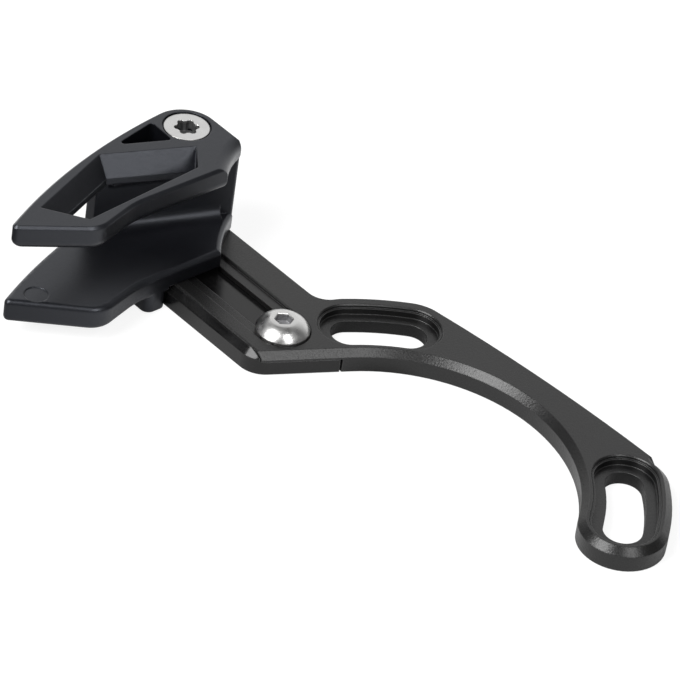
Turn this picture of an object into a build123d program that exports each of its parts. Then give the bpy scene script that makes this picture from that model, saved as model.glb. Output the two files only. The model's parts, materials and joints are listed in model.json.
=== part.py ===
"""Bicycle chain guide: plate for two frame tabs, sliding arm, moulded chain cage and two bolts.

Z is the bottom bracket axis, pointing away from the frame. The plate's back face lies on z = 0.
"""
import os
from math import cos, radians, sin

from build123d import *

os.makedirs("parts", exist_ok=True)

# Plate and its two mounting slots, on a circle round the bottom bracket axis
plate_thickness = 3.9
mount_radius = 36.2
upper_slot_angle = 95.6
upper_slot_sweep = 15.0
front_slot_angle = -1.55
front_slot_sweep = 18.1
mount_slot_width = 6.2
recess_width = 10.6
recess_depth = 1.65
recess_step = 0.35
recess_step_depth = 0.55
slot_wall = 1.75
web_bulge = 0.85
edge_chamfer = 1.15
edge_break = 0.2

# Straight arm, in a frame whose X runs outward along the arm
arm_angle = 133.0
arm_offset = 8.68
arm_width = 18.55
arm_root_fillet = 3.5
run_out_angle = 105.0

# Adjustment slot in the arm and the travel of the slider
clamp_setback = 0.05
clamp_side = 0.8
slide_travel = 20.0
slot_end_wall = 6.55
clamp_slot_width = 5.3
clamp_recess_width = 9.0
clamp_recess_depth = 0.55

# Slider: a tongue below the arm, a lip beside it and a pad beyond its end
tongue_thickness = 2.4
tongue_edge = 3.4
lip_width = 1.25
heel_radius = 4.5
pad_length = 10.6
pad_near_length = 4.0
pad_near_side = 0.2
pad_corner = 3.5
slide_clearance = 0.05
side_clearance = 0.35
lip_clearance = 0.1
end_clearance = 0.3
pad_rise = 0.1

# Moulded cage, measured along the arm from the arm's end
cage_bolt_x = 6.6
cage_bolt_y = -4.3
cage_side = 9.6
lower_wing_thickness = 3.0
skirt_drop = 1.1
chain_gap = 9.7
upper_wing_thickness = 4.6
upper_front = -5.7
lower_front = -8.4
mouth_x = -1.1
upper_mouth_y = -3.0
lower_mouth_y = -1.2
mouth_hollow = 0.5
mouth_round = 2.0
hollow_y = 16.0
hollow_radius = 14.0
nose_reach = 2.5
nose_y = 25.0
nose_radius = 4.5
tip_x = -0.4
tip_y = 37.2
tip_radius = 0.9
corner_x = 12.6
corner_radius = 6.0
back_bulge = 2.65
wall_end_x = 7.0
wall_end_y = 13.2
wall_setback = 0.2
wall_round = 2.0
frame_width = 2.5
bar_width = 2.2
bar_run = 3.4
bar_foot_x = 1.5
bar_foot_y = -2.2
bar_head_x = 7.75
bar_head_y = 12.85
window_tip_x = 1.2
window_tip_y = 29.75
window_nose_x = -5.3
window_mouth_y = 1.4
window_slope = 33.0
window_slope_depth = 3.4
pocket_x = 10.4
pocket_y = -0.1
pocket_radius = 0.5
wing_bevel = 0.45
wing_round = 0.9
upper_round = 1.8
lug_length = 7.7
lug_width = 4.2
lug_gap = 0.15
lug_clearance = 0.1
ejector_x = -1.9
ejector_y = 31.5
ejector_diameter = 3.9
ejector_depth = 0.12

# Bolts
clamp_thread = 5.0
clamp_head = 8.5
clamp_head_height = 2.6
clamp_head_rim = 0.2
clamp_head_flat = 4.3
clamp_head_dome = 0.25
clamp_socket = 3.0
cage_thread = 4.0
cage_head = 7.5
head_ring_width = 0.28
head_ring_depth = 0.5
cage_socket = 4.2
socket_core_diameter = 3.3
socket_lobe_diameter = 1.2
cage_bolt_sink = 0.12
cone_clearance = 0.06
socket_depth = 1.9
bolt_clearance = 0.15
thread_clearance = 0.04
bolt_end = 0.2
seat_clearance = 0.03

# Values that follow from the sizes above
mount_half = recess_width / 2 + slot_wall
inner_radius = mount_radius - mount_half
arm_half = arm_width / 2
clamp_rest = mount_radius + clamp_setback
arm_end = clamp_rest + slide_travel + slot_end_wall
flange_edge = arm_half - lip_width - lip_clearance
groove_height = tongue_thickness + slide_clearance
clamp_ledge = plate_thickness - clamp_recess_depth
pad_start = arm_end + end_clearance
seat_height = plate_thickness + pad_rise
lower_top = seat_height + lower_wing_thickness
upper_bottom = lower_top + chain_gap
cage_top = upper_bottom + upper_wing_thickness

arm_direction = Vector(1, 0).rotate(Axis.Z, arm_angle)
arm_side = Vector(0, 1).rotate(Axis.Z, arm_angle)
arm_origin = arm_side * -arm_offset
arm_plane = Plane(origin=arm_origin, x_dir=arm_direction, z_dir=(0, 0, 1))
cage_plane = Plane(origin=arm_origin + arm_direction * arm_end, x_dir=arm_direction, z_dir=(0, 0, 1))


def on_circle(radius, angle):
    """Point of a circle round the bottom bracket axis."""
    return Vector(radius * cos(radians(angle)), radius * sin(radians(angle)))


def on_arm(x, y):
    """Point of the arm's frame, in the part's own frame."""
    return arm_origin + arm_direction * x + arm_side * y


clamp_spot = on_arm(clamp_rest, clamp_side)
cage_bolt_spot = on_arm(arm_end + cage_bolt_x, cage_bolt_y)
bar_foot = Vector(bar_foot_x, bar_foot_y)
bar_head = Vector(bar_head_x, bar_head_y)
bar_along = (bar_head - bar_foot).normalized()
bar_across = bar_along.rotate(Axis.Z, -90)
window_tip = Vector(window_tip_x, window_tip_y)
window_far = (window_tip - bar_head).normalized()

# Inner face of the cage's wall, from the mouth to the wall's end
wall_start = on_arm(arm_end + mouth_x + wall_setback, -arm_half)
wall_stop = on_arm(arm_end + wall_end_x, wall_end_y)
wall_along = (wall_stop - wall_start).normalized()
channel_plane = Plane(
    origin=wall_start + wall_along * wall_round + Vector(0, 0, lower_top),
    x_dir=wall_along.rotate(Axis.Z, 90),
    z_dir=wall_along,
)

# The concave edge runs out along its tangent until it meets the arm's near side
run_out = on_circle(inner_radius, run_out_angle)
run_direction = Vector(0, 1).rotate(Axis.Z, run_out_angle)


def on_run_out(y):
    """Point where the run-out line crosses a line along the arm."""
    reach = (y - (run_out - arm_origin).dot(arm_side)) / run_direction.dot(arm_side)
    return run_out + run_direction * reach


def mount_slot(angle, sweep, width):
    """Kidney slot on the mounting circle."""
    with BuildSketch() as slot:
        SlotArc(CenterArc((0, 0), mount_radius, angle - sweep / 2, sweep), width)
    return slot.sketch


mount_slots = (
    (upper_slot_angle, upper_slot_sweep),
    (front_slot_angle, front_slot_sweep),
)
upper_middle = on_circle(mount_radius, upper_slot_angle)
front_middle = on_circle(mount_radius, front_slot_angle)

# Web between the slots: the common tangent of their two facing ends, bowed outward
upper_end = on_circle(mount_radius, upper_slot_angle - upper_slot_sweep / 2)
front_end = on_circle(mount_radius, front_slot_angle + front_slot_sweep / 2)
web_normal = (front_end - upper_end).normalized().rotate(Axis.Z, 90)
web_start = upper_end + web_normal * mount_half
web_stop = front_end + web_normal * mount_half

# Space left by the wide bevel along the concave edge and round the foot
with BuildPart() as bevel:
    with BuildSketch(Plane.XY.offset(-plate_thickness)):
        Circle(4 * mount_radius)
    extrude(amount=2 * plate_thickness - edge_chamfer)
    with BuildSketch(Plane.XY.offset(plate_thickness - edge_chamfer)):
        with BuildLine():
            Polyline(
                on_run_out(4 * arm_width),
                run_out,
                upper_middle / 2,
                front_middle / 2,
                front_middle,
                web_stop,
                web_stop + web_normal * mount_radius,
                on_arm(4 * arm_width, -4 * arm_width),
                on_arm(4 * arm_width, 4 * arm_width),
                on_run_out(4 * arm_width),
            )
        make_face()
        Circle(inner_radius, mode=Mode.SUBTRACT)
        add(mount_slot(front_slot_angle, front_slot_sweep, 2 * mount_half))
    extrude(amount=2 * edge_chamfer, taper=45)

with BuildPart() as backplate:
    with BuildSketch() as plate_outline:
        with BuildLine():
            SagittaArc(web_start, web_stop, web_bulge)
            Polyline(web_stop, front_middle, front_middle / 2, upper_middle / 2, upper_middle, web_start)
        make_face()
        with BuildLine():
            Polyline(
                upper_middle,
                upper_middle / 2,
                run_out,
                on_run_out(flange_edge),
                on_arm(arm_end, flange_edge),
                on_arm(arm_end, -arm_half),
                on_arm(clamp_rest, -arm_half),
                upper_middle,
            )
        make_face()
        Circle(inner_radius, mode=Mode.SUBTRACT)
        for slot_angle, slot_sweep in mount_slots:
            add(mount_slot(slot_angle, slot_sweep, 2 * mount_half))
        root = plate_outline.vertices().sort_by_distance(on_arm(clamp_rest + arm_root_fillet, -arm_half))[0]
        fillet(root, arm_root_fillet)
    extrude(amount=plate_thickness)
    chamfer(backplate.faces().sort_by(Axis.Z)[-1].edges(), edge_break)
    add(bevel.part, mode=Mode.INTERSECT)
    # Mounting slots with their stepped recesses
    with BuildSketch():
        for slot_angle, slot_sweep in mount_slots:
            add(mount_slot(slot_angle, slot_sweep, mount_slot_width))
    extrude(amount=plate_thickness, mode=Mode.SUBTRACT)
    with BuildSketch(Plane.XY.offset(plate_thickness - recess_depth)):
        for slot_angle, slot_sweep in mount_slots:
            add(mount_slot(slot_angle, slot_sweep, recess_width - 2 * recess_step))
    extrude(amount=recess_depth, mode=Mode.SUBTRACT)
    with BuildSketch(Plane.XY.offset(plate_thickness - recess_step_depth)):
        for slot_angle, slot_sweep in mount_slots:
            add(mount_slot(slot_angle, slot_sweep, recess_width))
    extrude(amount=recess_step_depth, mode=Mode.SUBTRACT)
    # Groove for the tongue, open towards the near side and both ends
    groove_side = -tongue_edge - side_clearance
    with BuildSketch(arm_plane):
        with BuildLine():
            Polyline(
                (0, groove_side),
                (2 * arm_end, groove_side),
                (2 * arm_end, arm_width),
                (0, arm_width),
                close=True,
            )
        make_face()
    extrude(amount=groove_height, mode=Mode.SUBTRACT)
    # Adjustment slot with a ledge for the clamp bolt's head
    with BuildSketch(arm_plane):
        with Locations((clamp_rest + slide_travel / 2, clamp_side)):
            SlotCenterToCenter(slide_travel, clamp_slot_width)
    extrude(amount=plate_thickness, mode=Mode.SUBTRACT)
    with BuildSketch(arm_plane.offset(clamp_ledge)):
        with Locations((clamp_rest + slide_travel / 2, clamp_side)):
            SlotCenterToCenter(slide_travel, clamp_recess_width)
    extrude(amount=clamp_recess_depth, mode=Mode.SUBTRACT)
    # Broken edges of the recesses
    for rim in backplate.faces().sort_by(Axis.Z)[-1].inner_wires():
        chamfer(rim.edges(), edge_break)

with BuildPart() as slider:
    with BuildSketch() as tongue_outline:
        with BuildLine():
            Polyline(
                on_run_out(-tongue_edge),
                on_run_out(arm_half),
                on_arm(pad_start, arm_half),
                on_arm(pad_start, -tongue_edge),
                close=True,
            )
        make_face()
        heel = tongue_outline.vertices().sort_by_distance(on_run_out(arm_half))[0]
        fillet(heel, heel_radius)
    extrude(amount=plate_thickness)
    add(bevel.part, mode=Mode.INTERSECT)
    chamfer(
        slider.faces().sort_by(Axis.Z)[-1].edges().filter_by(
            lambda edge: arm_plane.to_local_coords(edge.center()).Y > arm_half - heel_radius
        ),
        edge_chamfer,
    )
    # Only the lip keeps the plate's height, the rest runs below the arm
    with BuildSketch(arm_plane.offset(tongue_thickness)):
        with BuildLine():
            Polyline(
                (0, flange_edge + lip_clearance),
                (pad_start, flange_edge + lip_clearance),
                (pad_start, -arm_width),
                (0, -arm_width),
                close=True,
            )
        make_face()
    extrude(amount=plate_thickness, mode=Mode.SUBTRACT)
    with BuildSketch(arm_plane) as pad_outline:
        with BuildLine():
            Polyline(
                (pad_start, arm_half),
                (pad_start + pad_near_length, arm_half),
                (pad_start + pad_length, -pad_near_side),
                (pad_start + pad_length, -arm_half),
                (pad_start, -arm_half),
                close=True,
            )
        make_face()
        fillet(
            pad_outline.vertices().filter_by(lambda vertex: vertex.X > pad_start + pad_near_length / 2),
            pad_corner,
        )
    extrude(amount=seat_height)
    with BuildSketch(arm_plane):
        with Locations((clamp_rest, clamp_side)):
            Circle(clamp_thread / 2 + thread_clearance)
        with Locations((arm_end + cage_bolt_x, cage_bolt_y)):
            Circle(cage_thread / 2 + thread_clearance)
    extrude(amount=seat_height, mode=Mode.SUBTRACT)


def wing_outline(front, mouth_y):
    """Outline of one wing of the cage, in the frame of the arm's end."""
    with BuildSketch() as wing:
        with BuildLine():
            mouth = SagittaArc((mouth_x, -cage_side), (front, mouth_y), -mouth_hollow)
            Polyline(
                mouth @ 1,
                (front, hollow_y),
                (front - nose_reach, nose_y),
                (tip_x, tip_y),
            )
            SagittaArc((tip_x, tip_y), (corner_x, -cage_side), back_bulge)
            Line((corner_x, -cage_side), mouth @ 0)
        make_face()
        for spot, radius in (
            ((front, hollow_y), hollow_radius),
            ((front - nose_reach, nose_y), nose_radius),
            ((tip_x, tip_y), tip_radius),
            ((corner_x, -cage_side), corner_radius),
        ):
            fillet(wing.vertices().sort_by_distance(spot)[0], radius)
    return wing.sketch


# Space of the upper wing's window: the bar and the far side slope, the near sides are upright
with BuildPart() as window:
    with BuildSketch(cage_plane.offset(cage_top)):
        with BuildLine():
            Polyline(
                window_tip + window_far * tip_y,
                (-tip_y, tip_y),
                (-tip_y, -tip_y),
                bar_foot - bar_along * tip_y,
                bar_head,
                close=True,
            )
        make_face()
    extrude(amount=-window_slope_depth, taper=window_slope)
    window_floor = window.faces().sort_by(Axis.Z)[0]
    extrude(window_floor, amount=upper_wing_thickness - window_slope_depth)
    with BuildSketch(cage_plane.offset(upper_bottom)):
        with BuildLine():
            Polyline(
                window_tip,
                (window_nose_x, nose_y),
                (upper_front + frame_width, window_mouth_y),
                bar_foot,
                bar_head,
                close=True,
            )
        make_face()
    extrude(amount=upper_wing_thickness, mode=Mode.INTERSECT)

with BuildPart() as cage:
    # Lower wing, with a skirt that hangs down beside the slider
    with BuildSketch(cage_plane.offset(seat_height - skirt_drop)):
        add(wing_outline(lower_front, lower_mouth_y))
    extrude(amount=lower_wing_thickness + skirt_drop)
    fillet(cage.edges().filter_by(Plane.XY), wing_round)
    with BuildSketch(arm_plane):
        with BuildLine():
            Polyline(
                (0, arm_half + lug_clearance),
                (2 * arm_end, arm_half + lug_clearance),
                (2 * arm_end, -arm_width),
                (0, -arm_width),
                close=True,
            )
        make_face()
    extrude(amount=seat_height, mode=Mode.SUBTRACT)
    # Upper wing, rounded over at the mouth
    with BuildSketch(cage_plane.offset(upper_bottom)):
        add(wing_outline(upper_front, upper_mouth_y))
    extrude(amount=upper_wing_thickness)
    fillet(cage.edges(Select.LAST).group_by(Axis.Z)[0], upper_round)
    mouth_middle = on_arm(arm_end + (mouth_x + upper_front) / 2, (upper_mouth_y - cage_side) / 2)
    top_edges = cage.faces().sort_by(Axis.Z)[-1].edges().sort_by_distance(mouth_middle + Vector(0, 0, cage_top))
    chamfer(top_edges[1:], wing_bevel)
    rim_edges = cage.faces().sort_by(Axis.Z)[-1].edges().sort_by_distance(mouth_middle + Vector(0, 0, cage_top))
    fillet(rim_edges[0], mouth_round)
    # Wall between the wings, thick enough to take the bolt
    with BuildSketch(cage_plane.offset(lower_top - lower_wing_thickness / 2)):
        add(wing_outline(upper_front, upper_mouth_y))
        with BuildLine():
            Polyline(
                (mouth_x + wall_setback, -arm_width),
                (2 * corner_x, -arm_width),
                (2 * corner_x, wall_end_y),
                (wall_end_x, wall_end_y),
                (mouth_x + wall_setback, -arm_half),
                close=True,
            )
        make_face(mode=Mode.INTERSECT)
    extrude(amount=chain_gap + (lower_wing_thickness + upper_wing_thickness) / 2)
    # Rounded inside corners of the chain channel
    with BuildSketch(channel_plane):
        with Locations((0, 0), (0, chain_gap)):
            Rectangle(2 * wall_round, 2 * wall_round)
        with Locations((wall_round, wall_round), (wall_round, chain_gap - wall_round)):
            Circle(wall_round, mode=Mode.SUBTRACT)
        with Locations((wall_round, chain_gap / 2)):
            Rectangle(2 * wall_round, chain_gap - 2 * wall_round, mode=Mode.SUBTRACT)
    extrude(amount=(wall_stop - wall_start).length - 2 * wall_round)
    add(window.part, mode=Mode.SUBTRACT)
    # Pocket beyond the slanting bar
    with BuildSketch(cage_plane.offset(lower_top)) as pocket:
        with BuildLine():
            Polyline(
                bar_foot + bar_across * bar_width + bar_along * bar_run,
                bar_head + bar_across * bar_width - bar_along * bar_run,
                (pocket_x, pocket_y),
                close=True,
            )
        make_face()
        fillet(pocket.vertices(), pocket_radius)
    extrude(amount=cage_top, mode=Mode.SUBTRACT)
    # Lug beside the slider
    with BuildSketch(cage_plane.offset(lug_gap)) as lug:
        with Locations((lower_front, arm_half + lug_clearance)):
            Rectangle(lug_length, lug_width, align=Align.MIN)
        fillet(lug.vertices(), lug_width / 3)
    extrude(amount=seat_height - lug_gap)
    # Round ejector mark on the lower wing
    with BuildSketch(cage_plane.offset(lower_top - ejector_depth)):
        with Locations((ejector_x, ejector_y)):
            Circle(ejector_diameter / 2)
    extrude(amount=ejector_depth, mode=Mode.SUBTRACT)
    # Seat of the cage bolt, with a ring round its head
    with Locations(cage_bolt_spot + Vector(0, 0, cage_top)):
        CounterSinkHole(
            cage_thread / 2 + bolt_clearance,
            cage_head / 2 + cage_bolt_sink + cone_clearance,
            cage_top,
            counter_sink_angle=90,
        )
        Cylinder(
            cage_head / 2 + head_ring_width,
            head_ring_depth,
            align=(Align.CENTER, Align.CENTER, Align.MAX),
            mode=Mode.SUBTRACT,
        )

with BuildPart() as clamp_bolt:
    head_base = clamp_spot + Vector(0, 0, clamp_ledge + seat_clearance)
    with BuildSketch(Plane(origin=head_base, x_dir=(1, 0, 0), z_dir=(0, -1, 0))):
        with BuildLine():
            Polyline(
                (clamp_head_flat / 2, clamp_head_height),
                (0, clamp_head_height),
                (0, 0),
                (clamp_head / 2, 0),
                (clamp_head / 2, clamp_head_rim),
            )
            SagittaArc(
                (clamp_head_flat / 2, clamp_head_height),
                (clamp_head / 2, clamp_head_rim),
                clamp_head_dome,
            )
        make_face()
    revolve(axis=Axis(clamp_spot, (0, 0, 1)))
    with Locations(clamp_spot + Vector(0, 0, bolt_end)):
        Cylinder(clamp_thread / 2, clamp_ledge, align=(Align.CENTER, Align.CENTER, Align.MIN))
    with BuildSketch(arm_plane.offset(clamp_ledge + seat_clearance + clamp_head_height - socket_depth)):
        with Locations((clamp_rest, clamp_side)):
            RegularPolygon(clamp_socket / 2, 6, major_radius=False)
    extrude(amount=socket_depth, mode=Mode.SUBTRACT)

with BuildPart() as cage_bolt:
    head_top = cage_top - cage_bolt_sink
    head_height = (cage_head - cage_thread) / 2
    with Locations(cage_bolt_spot + Vector(0, 0, head_top)):
        Cone(
            cage_thread / 2,
            cage_head / 2,
            head_height,
            align=(Align.CENTER, Align.CENTER, Align.MAX),
        )
    with Locations(cage_bolt_spot + Vector(0, 0, bolt_end)):
        Cylinder(
            cage_thread / 2,
            head_top - head_height - bolt_end,
            align=(Align.CENTER, Align.CENTER, Align.MIN),
        )
    with BuildSketch(cage_plane.offset(head_top - socket_depth)):
        with Locations((cage_bolt_x, cage_bolt_y)):
            Circle(socket_core_diameter / 2)
            with PolarLocations((cage_socket - socket_lobe_diameter) / 2, 6):
                Circle(socket_lobe_diameter / 2)
    extrude(amount=socket_depth, mode=Mode.SUBTRACT)

backplate.part.label = "backplate"
slider.part.label = "slider"
cage.part.label = "cage"
clamp_bolt.part.label = "clamp_bolt"
cage_bolt.part.label = "cage_bolt"
export_step(backplate.part, "parts/backplate.step")
export_step(slider.part, "parts/slider.step")
export_step(cage.part, "parts/cage.step")
export_step(clamp_bolt.part, "parts/clamp_bolt.step")
export_step(cage_bolt.part, "parts/cage_bolt.step")
for piece in (backplate, slider, cage, clamp_bolt, cage_bolt):
    print(piece.part.label, piece.part.volume, len(piece.part.solids()), piece.part.is_valid)
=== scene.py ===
import json
import math

import bmesh
import bpy
from mathutils import Matrix, Vector


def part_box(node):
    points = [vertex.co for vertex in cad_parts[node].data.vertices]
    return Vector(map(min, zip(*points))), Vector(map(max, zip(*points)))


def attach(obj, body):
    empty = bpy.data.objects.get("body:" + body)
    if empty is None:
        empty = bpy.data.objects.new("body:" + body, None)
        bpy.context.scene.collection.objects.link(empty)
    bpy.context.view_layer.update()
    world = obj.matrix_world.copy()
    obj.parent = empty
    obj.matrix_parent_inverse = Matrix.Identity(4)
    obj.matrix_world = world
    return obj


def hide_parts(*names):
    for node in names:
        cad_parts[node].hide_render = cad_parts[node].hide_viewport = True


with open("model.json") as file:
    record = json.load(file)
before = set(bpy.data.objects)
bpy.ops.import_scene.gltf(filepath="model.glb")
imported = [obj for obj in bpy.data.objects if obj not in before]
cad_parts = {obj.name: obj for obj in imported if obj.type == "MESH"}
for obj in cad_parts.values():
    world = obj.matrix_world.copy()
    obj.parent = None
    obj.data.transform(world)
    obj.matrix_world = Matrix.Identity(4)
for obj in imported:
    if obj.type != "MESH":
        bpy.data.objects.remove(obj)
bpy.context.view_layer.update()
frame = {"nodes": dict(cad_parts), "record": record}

print("chain guide: frame loaded,", len(frame["nodes"]), "nodes")

nodes = frame["nodes"]


def startMaterial(name):
    material = bpy.data.materials.new(name)
    material.use_nodes = True
    tree = material.node_tree
    shader = tree.nodes["Principled BSDF"]
    return material, tree, shader


def link(tree, fromSocket, toSocket):
    tree.links.new(fromSocket, toSocket)


def addNode(tree, kind, **values):
    node = tree.nodes.new(kind)
    for name, value in values.items():
        setattr(node, name, value)
    return node


def objectCoords(tree):
    return addNode(tree, "ShaderNodeTexCoord").outputs["Object"]


def noiseOn(tree, coords, scale, detail=3.0, rough=0.55):
    noise = addNode(tree, "ShaderNodeTexNoise")
    noise.inputs["Scale"].default_value = scale
    noise.inputs["Detail"].default_value = detail
    noise.inputs["Roughness"].default_value = rough
    link(tree, coords, noise.inputs["Vector"])
    return noise.outputs["Fac"]


def spread(tree, source, low, high, start=0.3, stop=0.7):
    # start and stop are where most of a noise lies
    fit = addNode(tree, "ShaderNodeMapRange")
    fit.inputs["From Min"].default_value = start
    fit.inputs["From Max"].default_value = stop
    fit.inputs["To Min"].default_value = low
    fit.inputs["To Max"].default_value = high
    link(tree, source, fit.inputs["Value"])
    return fit.outputs["Result"]


def mixColours(tree, factor, first, second):
    # first is a colour, or the socket that a colour comes from
    mix = addNode(tree, "ShaderNodeMix", data_type="RGBA")
    if isinstance(first, tuple):
        mix.inputs["A"].default_value = (*first, 1.0)
    else:
        link(tree, first, mix.inputs["A"])
    mix.inputs["B"].default_value = (*second, 1.0)
    link(tree, factor, mix.inputs["Factor"])
    return mix.outputs["Result"]


def addMath(tree, operation, first, second):
    node = addNode(tree, "ShaderNodeMath", operation=operation)
    for socket, value in zip(node.inputs, (first, second)):
        if isinstance(value, float):
            socket.default_value = value
        else:
            link(tree, value, socket)
    return node.outputs["Value"]


def distanceTo(tree, coords, point):
    reach = addNode(tree, "ShaderNodeVectorMath", operation="DISTANCE")
    link(tree, coords, reach.inputs[0])
    reach.inputs[1].default_value = point
    return reach.outputs["Value"]


softEdge = {
    "samples": 6,
    "lean": (0.75, 0.99),  # cosines between which an edge fades into the flat
}


def edgeMask(tree, radius):
    # how far a rounded normal leans from the face's own, 0 on flats and 1 on sharp edges
    bevel = addNode(tree, "ShaderNodeBevel", samples=softEdge["samples"])
    bevel.inputs["Radius"].default_value = radius
    geometry = addNode(tree, "ShaderNodeNewGeometry")
    dot = addNode(tree, "ShaderNodeVectorMath", operation="DOT_PRODUCT")
    link(tree, bevel.outputs["Normal"], dot.inputs[0])
    link(tree, geometry.outputs["True Normal"], dot.inputs[1])
    return bevel.outputs["Normal"], spread(tree, dot.outputs["Value"], 1.0, 0.0, *softEdge["lean"])


def addBump(tree, shader, rounded, height, depth):
    bump = addNode(tree, "ShaderNodeBump")
    bump.inputs["Distance"].default_value = depth
    link(tree, height, bump.inputs["Height"])
    link(tree, rounded, bump.inputs["Normal"])
    link(tree, bump.outputs["Normal"], shader.inputs["Normal"])


# Backplate: black anodised over bead blasting
anodised = {
    "colour": (0.0048, 0.0048, 0.0051),
    "warmer": (0.0074, 0.0072, 0.0070),  # slow drift of the dye over the plate
    "driftScale": 60.0,
    "roughness": (0.25, 0.36),
    "grainScale": 3400.0,  # bead blasting, about 0.3 mm
    "grainDepth": 0.000035,
    "sparkleScale": 9000.0,
    "edgeRadius": 0.00022,  # sharp machined edges catch the light
    # lighter edges: worn anodising and a painted highlight
    "edgeWearAndHighlight": (0.05, 0.05, 0.05),
    "gloss": 0.475,
}


def anodisedFinish():
    material, tree, shader = startMaterial("blackAnodised")
    coords = objectCoords(tree)
    drift = noiseOn(tree, coords, anodised["driftScale"])
    grain = noiseOn(tree, coords, anodised["grainScale"], detail=2.0)
    sparkle = noiseOn(tree, coords, anodised["sparkleScale"], detail=1.0)
    rounded, edges = edgeMask(tree, anodised["edgeRadius"])
    drifted = spread(tree, drift, 0.0, 1.0)
    base = mixColours(tree, drifted, anodised["colour"], anodised["warmer"])
    # edges lightened by wear and by a painted highlight
    wornAndHighlit = mixColours(tree, edges, base, anodised["edgeWearAndHighlight"])
    link(tree, wornAndHighlit, shader.inputs["Base Color"])
    link(tree, spread(tree, sparkle, *anodised["roughness"]), shader.inputs["Roughness"])
    addBump(tree, shader, rounded, grain, anodised["grainDepth"])
    shader.inputs["Specular IOR Level"].default_value = anodised["gloss"]
    return material


# Slider: black anodised, with cutter marks along the arm
tongue = {
    # darker than the backplate: the machined finish and painted shade of the slot the tongue lies in
    "colour": (0.0030, 0.0030, 0.0032),
    "streak": (0.0056, 0.0055, 0.0055),
    "roughness": (0.13, 0.22),
    "armTurn": math.radians(133.0),  # the arm's direction from +X
    "lineScale": 3200.0,
    "lineStretch": 40.0,
    "lineDepth": 0.000004,
    "edgeRadius": 0.00022,
    # lighter edges: worn anodising and a painted highlight
    "edgeWearAndHighlight": (0.05, 0.05, 0.05),
    "gloss": 0.38,
}


def tongueFinish():
    material, tree, shader = startMaterial("machinedTongue")
    along = addNode(tree, "ShaderNodeMapping", vector_type="TEXTURE")
    along.inputs["Rotation"].default_value = (0.0, 0.0, tongue["armTurn"])
    along.inputs["Scale"].default_value = (tongue["lineStretch"], 1.0, 1.0)
    link(tree, objectCoords(tree), along.inputs["Vector"])
    lines = noiseOn(tree, along.outputs["Vector"], tongue["lineScale"])
    rounded, edges = edgeMask(tree, tongue["edgeRadius"])
    streaks = spread(tree, lines, 0.0, 1.0)
    base = mixColours(tree, streaks, tongue["colour"], tongue["streak"])
    # edges lightened by wear and by a painted highlight
    wornAndHighlit = mixColours(tree, edges, base, tongue["edgeWearAndHighlight"])
    link(tree, wornAndHighlit, shader.inputs["Base Color"])
    link(tree, spread(tree, lines, *tongue["roughness"]), shader.inputs["Roughness"])
    addBump(tree, shader, rounded, lines, tongue["lineDepth"])
    shader.inputs["Specular IOR Level"].default_value = tongue["gloss"]
    return material


# Cage: black moulded plastic
moulded = {
    "colour": (0.0020, 0.0021, 0.0031),
    "paler": (0.0036, 0.0038, 0.0051),  # where the plastic flowed
    "flowScale": 90.0,
    "roughness": (0.29, 0.41),
    "gloss": 0.63,
    "glossTint": (0.86, 0.90, 1.0),
    "grainScale": 2600.0,  # spark-eroded mould skin
    "grainDepth": 0.000006,
    "edgeRadius": 0.0003,
}


def mouldedFinish():
    material, tree, shader = startMaterial("mouldedPlastic")
    coords = objectCoords(tree)
    flow = noiseOn(tree, coords, moulded["flowScale"])
    grain = noiseOn(tree, coords, moulded["grainScale"], detail=4.0, rough=0.65)
    rounded, _ = edgeMask(tree, moulded["edgeRadius"])
    flowed = spread(tree, flow, 0.0, 1.0)
    base = mixColours(tree, flowed, moulded["colour"], moulded["paler"])
    link(tree, base, shader.inputs["Base Color"])
    link(tree, spread(tree, grain, *moulded["roughness"]), shader.inputs["Roughness"])
    addBump(tree, shader, rounded, grain, moulded["grainDepth"])
    shader.inputs["Specular IOR Level"].default_value = moulded["gloss"]
    shader.inputs["Specular Tint"].default_value = (*moulded["glossTint"], 1.0)
    return material


# Bolts: turned stainless steel
stainless = {
    "colour": (0.64, 0.637, 0.63),
    # lighter edges: rubbed steel and a painted highlight
    "edgeWearAndHighlight": (0.85, 0.84, 0.82),
    "edgeRadius": 0.00015,
    "roughness": (0.24, 0.38),
    "smudgeScale": 700.0,
    "ringScale": 900.0,  # turning marks round the bolt's axis
    "ringWobble": 1.5,
    "ringDepth": 0.0000025,
    "socketRadius": 0.0022,
    "socketTop": (-0.0006, -0.00008),  # heights from the top of the head between which the painted shade and the extra roughness come in, going down
    "clampSocketShade": (0.36, 0.36, 0.37),  # painted shade inside the sockets
    "cageSocketShade": (0.20, 0.20, 0.20),
    "socketRough": 0.2,
}


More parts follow.
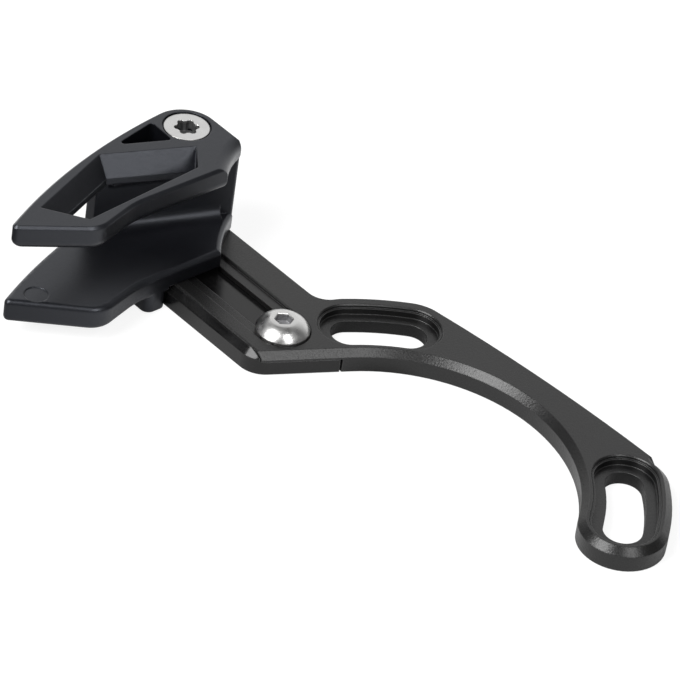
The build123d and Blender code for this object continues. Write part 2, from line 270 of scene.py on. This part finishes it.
def stainlessFinish(name, node, socketShade):
    low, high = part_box(node)
    material, tree, shader = startMaterial(name)
    coords = objectCoords(tree)
    place = addNode(tree, "ShaderNodeMapping", vector_type="POINT")
    place.inputs["Location"].default_value = (-(low.x + high.x) / 2, -(low.y + high.y) / 2, -high.z)
    link(tree, coords, place.inputs["Vector"])
    rings = addNode(tree, "ShaderNodeTexWave", wave_type="RINGS", rings_direction="Z")
    rings.inputs["Scale"].default_value = stainless["ringScale"]
    rings.inputs["Distortion"].default_value = stainless["ringWobble"]
    link(tree, place.outputs["Vector"], rings.inputs["Vector"])
    smudge = noiseOn(tree, coords, stainless["smudgeScale"])
    rounded, edges = edgeMask(tree, stainless["edgeRadius"])
    # edges lightened by wear and by a painted highlight
    base = mixColours(tree, edges, stainless["colour"], stainless["edgeWearAndHighlight"])
    # the socket is what lies near the axis and below the top of the head
    axes = addNode(tree, "ShaderNodeSeparateXYZ")
    link(tree, place.outputs["Vector"], axes.inputs["Vector"])
    flat = addNode(tree, "ShaderNodeCombineXYZ")
    link(tree, axes.outputs["X"], flat.inputs["X"])
    link(tree, axes.outputs["Y"], flat.inputs["Y"])
    reach = distanceTo(tree, flat.outputs["Vector"], (0.0, 0.0, 0.0))
    inside = addMath(tree, "LESS_THAN", reach, stainless["socketRadius"])
    below = spread(tree, axes.outputs["Z"], 1.0, 0.0, *stainless["socketTop"])
    socket = addMath(tree, "MULTIPLY", inside, below)
    # painted shade inside the socket, below the top of the head
    socketShaded = mixColours(tree, socket, base, socketShade)
    link(tree, socketShaded, shader.inputs["Base Color"])
    wiped = spread(tree, smudge, *stainless["roughness"])
    rougher = addMath(tree, "MULTIPLY", socket, stainless["socketRough"])
    link(tree, addMath(tree, "ADD", wiped, rougher), shader.inputs["Roughness"])
    addBump(tree, shader, rounded, rings.outputs["Fac"], stainless["ringDepth"])
    shader.inputs["Metallic"].default_value = 1.0
    return material


def paint(node, material):
    mesh = nodes[node].data
    mesh.materials.clear()
    mesh.materials.append(material)


paint("backplate", anodisedFinish())
paint("slider", tongueFinish())
paint("cage", mouldedFinish())
clampSteel = stainlessFinish("stainlessClamp", "clamp_bolt", stainless["clampSocketShade"])
paint("clamp_bolt", clampSteel)
paint("cage_bolt", stainlessFinish("stainlessCage", "cage_bolt", stainless["cageSocketShade"]))
print("chain guide: finishes on", ", ".join(sorted(nodes)))

# Clamp bolt: a button head with a domed side and a hexagon socket
clampBolt = {
    "headRadius": 0.0044,
    "flatRadius": 0.00215,
    "headHeight": 0.0026,
    "domeFrom": math.radians(15.0),  # slope beside the flat
    "domeTo": math.radians(62.0),  # slope at the rim
    "domeSteps": 12,
    "shankRadius": 0.0025,
    "tip": 0.0004,
    "hexagon": 0.00155,  # centre to corner
    "hexagonLip": 0.00012,
    "hexagonTurn": math.radians(40.0),
    "hexagonDepth": 0.0013,
    "drillPoint": 0.0005,
    "sides": 60,
    "mergeWithin": 1e-7,
    "crease": math.radians(24.0),  # steeper edges stay sharp
}


def ofKind(items, kind):
    return [item for item in items if isinstance(item, kind)]


def turnProfile(bm, length):
    # the dome's arc, then the rim, the seat, the shank and the tip, turned about the axis
    first = bmesh.ops.create_vert(bm, co=(clampBolt["flatRadius"], 0.0, 0.0))["vert"][0]
    start, stop = clampBolt["domeFrom"], clampBolt["domeTo"]
    radius = (clampBolt["headRadius"] - clampBolt["flatRadius"]) / (math.sin(stop) - math.sin(start))
    middle = (clampBolt["flatRadius"] - radius * math.sin(start), 0.0, -radius * math.cos(start))
    arc = bmesh.ops.spin(
        bm,
        geom=[first],
        cent=middle,
        axis=(0.0, 1.0, 0.0),
        dvec=(0.0, 0.0, 0.0),
        angle=stop - start,
        steps=clampBolt["domeSteps"],
    )
    last = ofKind(arc["geom_last"], bmesh.types.BMVert)
    corners = (
        (clampBolt["headRadius"], -clampBolt["headHeight"]),
        (clampBolt["shankRadius"], -clampBolt["headHeight"]),
        (clampBolt["shankRadius"], clampBolt["tip"] - length),
        (clampBolt["shankRadius"] - clampBolt["tip"], -length),
        (0.0, -length),
    )
    for across, height in corners:
        last = bmesh.ops.extrude_vert_indiv(bm, verts=last)["verts"]
        last[0].co = (across, 0.0, height)
    bmesh.ops.spin(
        bm,
        geom=bm.verts[:] + bm.edges[:],
        cent=(0.0, 0.0, 0.0),
        axis=(0.0, 0.0, 1.0),
        dvec=(0.0, 0.0, 0.0),
        angle=math.tau,
        steps=clampBolt["sides"],
        use_merge=True,
    )
    bmesh.ops.remove_doubles(bm, verts=bm.verts[:], dist=clampBolt["mergeWithin"])


def sinkHexagon(bm):
    # the flat is filled between its rim and the hexagon, which then goes down in three steps
    rim = [edge for edge in bm.edges if edge.is_boundary]
    turn = Matrix.Rotation(clampBolt["hexagonTurn"], 4, "Z")
    hexagonTop = clampBolt["hexagon"] + clampBolt["hexagonLip"]
    bmesh.ops.create_circle(bm, segments=6, radius=hexagonTop, matrix=turn)
    ring = [edge for edge in bm.edges if edge.is_wire]
    bmesh.ops.triangle_fill(bm, use_beauty=True, edges=rim + ring, normal=(0.0, 0.0, 1.0))
    depths = (
        (clampBolt["hexagon"] / hexagonTop, -clampBolt["hexagonLip"]),
        (1.0, -clampBolt["hexagonDepth"]),
        (0.0, -clampBolt["drillPoint"]),
    )
    for narrow, sink in depths:
        sunk = bmesh.ops.extrude_edge_only(bm, edges=ring)["geom"]
        ring = ofKind(sunk, bmesh.types.BMEdge)
        corners = ofKind(sunk, bmesh.types.BMVert)
        bmesh.ops.scale(bm, vec=(narrow, narrow, 1.0), verts=corners)
        bmesh.ops.translate(bm, vec=(0.0, 0.0, sink), verts=corners)
    bmesh.ops.remove_doubles(bm, verts=bm.verts[:], dist=clampBolt["mergeWithin"])


def makeClampBolt():
    low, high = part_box("clamp_bolt")
    bm = bmesh.new()
    turnProfile(bm, high.z - low.z)
    sinkHexagon(bm)
    bmesh.ops.recalc_face_normals(bm, faces=bm.faces[:])
    bmesh.ops.translate(bm, vec=((low.x + high.x) / 2, (low.y + high.y) / 2, high.z), verts=bm.verts[:])
    for face in bm.faces:
        face.smooth = True
    for edge in bm.edges:
        edge.smooth = edge.calc_face_angle(0.0) < clampBolt["crease"]
    mesh = bpy.data.meshes.new("clampBolt")
    bm.to_mesh(mesh)
    bm.free()
    mesh.materials.append(clampSteel)
    bolt = bpy.data.objects.new("clampBolt", mesh)
    bpy.context.scene.collection.objects.link(bolt)
    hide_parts("clamp_bolt")
    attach(bolt, "guide")
    return bolt


print("chain guide: clamp bolt of", len(makeClampBolt().data.polygons), "faces")

# Floor, room and light
studio = {
    "floorSize": 6.0,
    "floorHeight": -0.0002,
    "floorColour": (0.86, 0.86, 0.86),
    "floorRough": 0.9,
    "floorGlow": 0.84,  # the table's own light, as the lens sees it
    "floorGloss": 0.12,  # and as the reflections see it
    "floorMiddle": (0.012, 0.0, 0.0),
    "floorEdge": (0.056, 0.105),  # where the lit part of the table ends
    "floorFade": 0.12,
    "floorBack": 1.0,  # white table behind the object
    "floorBackEdge": (0.050, 0.066),
    "floorShade": 0.24,  # the light that the object's shadow takes from the table, to the lens
    "glossShade": 0.64,  # and to the reflections
    "slots": ("upper_slot", "front_slot"),
    "slotShade": 0.4,  # painted shadow on the table inside the mounting slots, as the reflections see it
    "slotEdge": (0.007, 0.011),
    "fill": 0.2,
    "backSide": 1.0,  # the white sweep behind the object, as the gloss sees it
    "roomSide": 0.16,  # the room behind the camera
    "sweep": (0.30, 0.72),  # where the room turns into the sweep
    "middle": (-0.01, 0.03, 0.0),
    "keyPlace": (-54.0, 44.0, 0.9),  # turn from the camera's side, height angle, distance
    "keySize": (0.50, 0.66),
    "keyPower": 10.2,
    "sidePlace": (32.5, 45.0, 0.9),
    "sideSize": (0.33, 0.60),
    "sidePower": 3.2,
}


def seenRays(tree):
    rays = addNode(tree, "ShaderNodeLightPath")
    lens = addMath(tree, "MAXIMUM", rays.outputs["Is Camera Ray"], rays.outputs["Is Transmission Ray"])
    return lens, rays.outputs["Is Glossy Ray"]


def makeFloor():
    bpy.ops.mesh.primitive_plane_add(size=studio["floorSize"], location=(0.0, 0.0, studio["floorHeight"]))
    floor = bpy.context.object
    floor.name = "floor"
    material, tree, shader = startMaterial("paleFloor")
    shader.inputs["Base Color"].default_value = (*studio["floorColour"], 1.0)
    shader.inputs["Roughness"].default_value = studio["floorRough"]
    shader.inputs["Specular IOR Level"].default_value = 0.0
    shade = addNode(tree, "ShaderNodeBsdfDiffuse")
    glow = addNode(tree, "ShaderNodeEmission")
    both = addNode(tree, "ShaderNodeAddShader")
    link(tree, shade.outputs["BSDF"], both.inputs[0])
    link(tree, glow.outputs["Emission"], both.inputs[1])
    lens, gloss = seenRays(tree)
    coords = objectCoords(tree)
    reach = distanceTo(tree, coords, studio["floorMiddle"])
    near = spread(tree, reach, 1.0, studio["floorFade"], *studio["floorEdge"])
    for mount in frame["record"]["mounts"]:
        if mount["name"] in studio["slots"]:
            toSlot = distanceTo(tree, coords, mount["pos_m"])
            # painted shadow of the plate on the table inside the slots, for reflections
            slotShadow = spread(tree, toSlot, studio["slotShade"], 1.0, *studio["slotEdge"])
            near = addMath(tree, "MULTIPLY", near, slotShadow)
    axes = addNode(tree, "ShaderNodeSeparateXYZ")
    link(tree, coords, axes.inputs["Vector"])
    behind = spread(tree, axes.outputs["Y"], 0.0, studio["floorBack"], *studio["floorBackEdge"])
    lit = addMath(tree, "MAXIMUM", addMath(tree, "MULTIPLY", near, studio["floorGloss"]), behind)
    lensGlow = addMath(tree, "MULTIPLY", lens, studio["floorGlow"])
    glossGlow = addMath(tree, "MULTIPLY", gloss, lit)
    lensShade = addMath(tree, "MULTIPLY", lens, studio["floorShade"])
    glossShade = addMath(tree, "MULTIPLY", addMath(tree, "MULTIPLY", gloss, near), studio["glossShade"])
    link(tree, addMath(tree, "ADD", lensShade, glossShade), shade.inputs["Color"])
    link(tree, addMath(tree, "ADD", lensGlow, glossGlow), glow.inputs["Strength"])
    pick = addNode(tree, "ShaderNodeMixShader")
    link(tree, addMath(tree, "MAXIMUM", lens, gloss), pick.inputs["Fac"])
    link(tree, shader.outputs["BSDF"], pick.inputs[1])
    link(tree, both.outputs["Shader"], pick.inputs[2])
    link(tree, pick.outputs["Shader"], tree.nodes["Material Output"].inputs["Surface"])
    floor.data.materials.append(material)


def makeWorld():
    world = bpy.data.worlds.new("studio")
    bpy.context.scene.world = world
    world.use_nodes = True
    tree = world.node_tree
    back = tree.nodes["Background"]
    back.inputs["Color"].default_value = (1.0, 1.0, 1.0, 1.0)
    # white behind the object, the dimmer room behind the camera
    axes = addNode(tree, "ShaderNodeSeparateXYZ")
    link(tree, addNode(tree, "ShaderNodeTexCoord").outputs["Generated"], axes.inputs["Vector"])
    room = spread(tree, axes.outputs["Y"], studio["roomSide"], studio["backSide"], *studio["sweep"])
    lens, gloss = seenRays(tree)
    plain = spread(tree, lens, studio["fill"], 1.0, 0.0, 1.0)
    shift = addMath(tree, "MULTIPLY", gloss, addMath(tree, "SUBTRACT", room, plain))
    link(tree, addMath(tree, "ADD", plain, shift), back.inputs["Strength"])


def towards(turn, height):
    # from the origin, turned from -Y to +X and raised
    level = math.cos(height)
    return Vector((math.sin(turn) * level, -math.cos(turn) * level, math.sin(height)))


def softLight(name, place, size, power):
    turn, height, distance = place
    toLamp = towards(math.radians(turn), math.radians(height))
    light = bpy.data.lights.new(name, "AREA")
    light.shape = "RECTANGLE"
    light.size, light.size_y = size
    light.energy = power
    lamp = bpy.data.objects.new(name, light)
    lamp.location = Vector(studio["middle"]) + toLamp * distance
    lamp.rotation_mode = "QUATERNION"
    lamp.rotation_quaternion = (-toLamp).to_track_quat("-Z", "Y")
    bpy.context.scene.collection.objects.link(lamp)


camera = {
    "target": Vector((-0.00974, 0.03086, 0.0039)),
    "azimuth": math.radians(-2.84),
    "elevation": math.radians(36.63),
    "roll": math.radians(8.634),
    "distance": 0.7920,
    "sensor": 36.0,
    "focal": 5000.1 * 36.0 / 680.0,  # from pixels to millimetres on the sensor
    "clip": (0.01, 20.0),
}


def makeCamera():
    turn, roll = camera["azimuth"], camera["roll"]
    back = towards(turn, camera["elevation"])
    right = Vector((math.cos(turn), math.sin(turn), 0.0))
    up = back.cross(right)
    across = right * math.cos(roll) + up * math.sin(roll)
    above = up * math.cos(roll) - right * math.sin(roll)
    lens = bpy.data.cameras.new("photoCamera")
    lens.lens = camera["focal"]
    lens.sensor_width = camera["sensor"]
    lens.clip_start, lens.clip_end = camera["clip"]
    eye = bpy.data.objects.new("photoCamera", lens)
    place = camera["target"] + back * camera["distance"]
    eye.matrix_world = Matrix(
        (
            (across.x, above.x, back.x, place.x),
            (across.y, above.y, back.y, place.y),
            (across.z, above.z, back.z, place.z),
            (0.0, 0.0, 0.0, 1.0),
        )
    )
    bpy.context.scene.collection.objects.link(eye)
    bpy.context.scene.camera = eye


makeFloor()
makeWorld()
softLight("keySoft", studio["keyPlace"], studio["keySize"], studio["keyPower"])
softLight("sideSoft", studio["sidePlace"], studio["sideSize"], studio["sidePower"])
makeCamera()
bpy.context.scene.view_settings.view_transform = "Standard"
print("chain guide: floor, lights and camera set")
